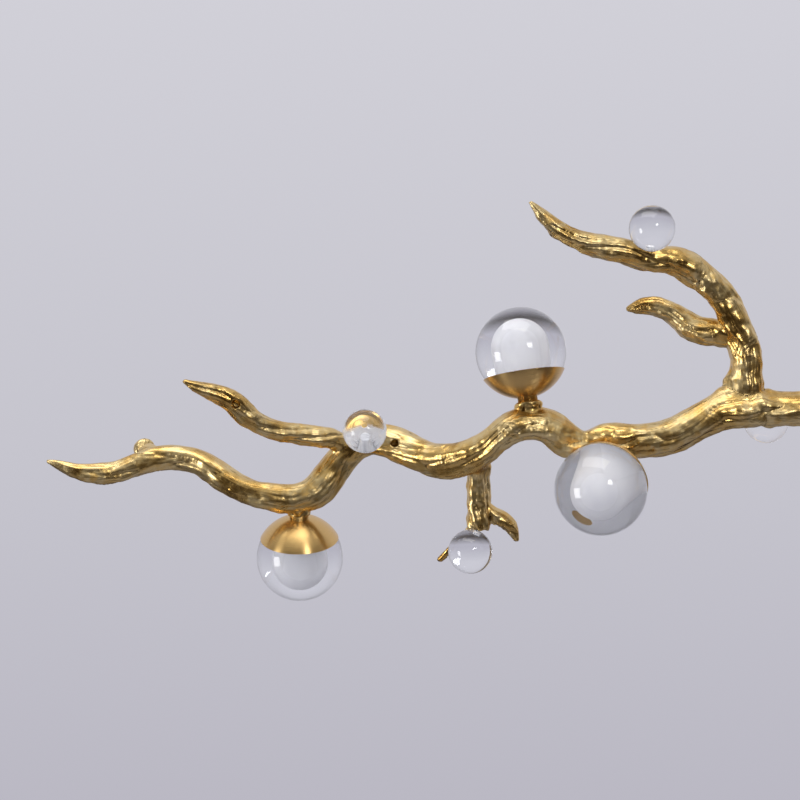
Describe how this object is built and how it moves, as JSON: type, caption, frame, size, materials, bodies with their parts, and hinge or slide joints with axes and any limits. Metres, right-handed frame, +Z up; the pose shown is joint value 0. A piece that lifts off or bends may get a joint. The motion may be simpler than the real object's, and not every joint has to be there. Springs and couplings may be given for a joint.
{
  "type": "branch chandelier",
  "caption": "Branch chandelier of cast brass limbs with spun caps, crystal globe lamps and crystal beads, hung on a stem from a round ceiling canopy.",
  "frame": {"origin": "centre of the ceiling face, on the stem's axis", "axes": "+Z up towards the ceiling, X along the branches"},
  "size_m": [1.5154, 0.2502, 0.7784],
  "materials": {
    "cast_brass": "polished lost-wax casting with dark recesses",
    "satin_brass": "spun and finely brushed",
    "turned_brass": "turned",
    "crystal": "polished clear, frosted in the bore",
    "bulb_glass": "frosted",
    "holder_ceramic": "matt steatite",
    "plated_steel": "zinc plated",
    "driver_plastic": "moulded",
    "terminal_plastic": "moulded nylon"
  },
  "bodies": {
    "ceiling_mount": {"ceiling_plate": "plated_steel", "plate_bolts": "plated_steel", "led_driver": "driver_plastic", "terminal_block": "terminal_plastic", "swivel_socket": "turned_brass", "swivel_ring": "turned_brass", "swivel_nut": "plated_steel"},
    "canopy_group": {"canopy": "satin_brass", "canopy_ring": "satin_brass"},
    "left_globe_1": {"left_lamp_1_globe": "crystal", "left_lamp_1_ferrule": "turned_brass"},
    "left_bulb_1": {"left_lamp_1_bulb": "bulb_glass"},
    "left_globe_2": {"left_lamp_2_globe": "crystal", "left_lamp_2_ferrule": "turned_brass"},
    "left_bulb_2": {"left_lamp_2_bulb": "bulb_glass"},
    "left_globe_3": {"left_lamp_3_globe": "crystal", "left_lamp_3_ferrule": "turned_brass"},
    "left_bulb_3": {"left_lamp_3_bulb": "bulb_glass"},
    "right_globe_1": {"right_lamp_1_globe": "crystal", "right_lamp_1_ferrule": "turned_brass"},
    "right_bulb_1": {"right_lamp_1_bulb": "bulb_glass"},
    "right_globe_2": {"right_lamp_2_globe": "crystal", "right_lamp_2_ferrule": "turned_brass"},
    "right_bulb_2": {"right_lamp_2_bulb": "bulb_glass"},
    "right_globe_3": {"right_lamp_3_globe": "crystal", "right_lamp_3_ferrule": "turned_brass"},
    "right_bulb_3": {"right_lamp_3_bulb": "bulb_glass"},
    "hanging_frame": {"bead_pins": "turned_brass", "centre_trunk": "cast_brass", "left_antler": "cast_brass", "left_beads": "crystal", "left_fork_twig": "cast_brass", "left_inner_arm": "cast_brass", "left_lamp_1_cap": "satin_brass", "left_lamp_1_holder": "holder_ceramic", "left_lamp_2_cap": "satin_brass", "left_lamp_2_holder": "holder_ceramic", "left_lamp_3_cap": "satin_brass", "left_lamp_3_holder": "holder_ceramic", "left_outer_arm": "cast_brass", "left_side_twig": "cast_brass", "nipples": "turned_brass", "right_antler": "cast_brass", "right_beads": "crystal", "right_fork_twig": "cast_brass", "right_inner_arm": "cast_brass", "right_lamp_1_cap": "satin_brass", "right_lamp_1_holder": "holder_ceramic", "right_lamp_2_cap": "satin_brass", "right_lamp_2_holder": "holder_ceramic", "right_lamp_3_cap": "satin_brass", "right_lamp_3_holder": "holder_ceramic", "right_outer_arm": "cast_brass", "right_side_twig": "cast_brass", "set_screws": "plated_steel", "stem": "satin_brass", "stem_collar": "satin_brass", "swivel_ball": "turned_brass"}
  },
  "joints": [
    {"name": "hang_turn", "type": "hinge", "parent": "ceiling_mount", "child": "hanging_frame", "pos_m": [0, 0, -0.02], "axis": [0, 0, 1], "range_deg": [-170, 170]},
    {"name": "canopy_drop", "type": "slide", "parent": "hanging_frame", "child": "canopy_group", "axis": [0, 0, 1], "range_m": [-0.25, 0]},
    {"name": "left_globe_1_lift", "type": "slide", "parent": "hanging_frame", "child": "left_globe_1", "axis": [0, 0.3419, -0.9397], "range_m": [0, 0.06]},
    {"name": "left_bulb_1_pull", "type": "slide", "parent": "hanging_frame", "child": "left_bulb_1", "axis": [0, 0.3419, -0.9397], "range_m": [0, 0.01]},
    {"name": "left_globe_2_lift", "type": "slide", "parent": "hanging_frame", "child": "left_globe_2", "axis": [-0.137, 0.113, 0.9841], "range_m": [0, 0.06]},
    {"name": "left_bulb_2_pull", "type": "slide", "parent": "hanging_frame", "child": "left_bulb_2", "axis": [-0.137, 0.113, 0.9841], "range_m": [0, 0.01]},
    {"name": "left_globe_3_lift", "type": "slide", "parent": "hanging_frame", "child": "left_globe_3", "axis": [-0.4549, -0.7068, -0.5418], "range_m": [0, 0.06]},
    {"name": "left_bulb_3_pull", "type": "slide", "parent": "hanging_frame", "child": "left_bulb_3", "axis": [-0.4549, -0.7068, -0.5418], "range_m": [0, 0.01]},
    {"name": "right_globe_1_lift", "type": "slide", "parent": "hanging_frame", "child": "right_globe_1", "axis": [0, -0.3419, -0.9397], "range_m": [0, 0.06]},
    {"name": "right_bulb_1_pull", "type": "slide", "parent": "hanging_frame", "child": "right_bulb_1", "axis": [0, -0.3419, -0.9397], "range_m": [0, 0.01]},
    {"name": "right_globe_2_lift", "type": "slide", "parent": "hanging_frame", "child": "right_globe_2", "axis": [0.137, -0.113, 0.9841], "range_m": [0, 0.06]},
    {"name": "right_bulb_2_pull", "type": "slide", "parent": "hanging_frame", "child": "right_bulb_2", "axis": [0.137, -0.113, 0.9841], "range_m": [0, 0.01]},
    {"name": "right_globe_3_lift", "type": "slide", "parent": "hanging_frame", "child": "right_globe_3", "axis": [0.4549, 0.7068, -0.5418], "range_m": [0, 0.06]},
    {"name": "right_bulb_3_pull", "type": "slide", "parent": "hanging_frame", "child": "right_bulb_3", "axis": [0.4549, 0.7068, -0.5418], "range_m": [0, 0.01]}
  ]
}
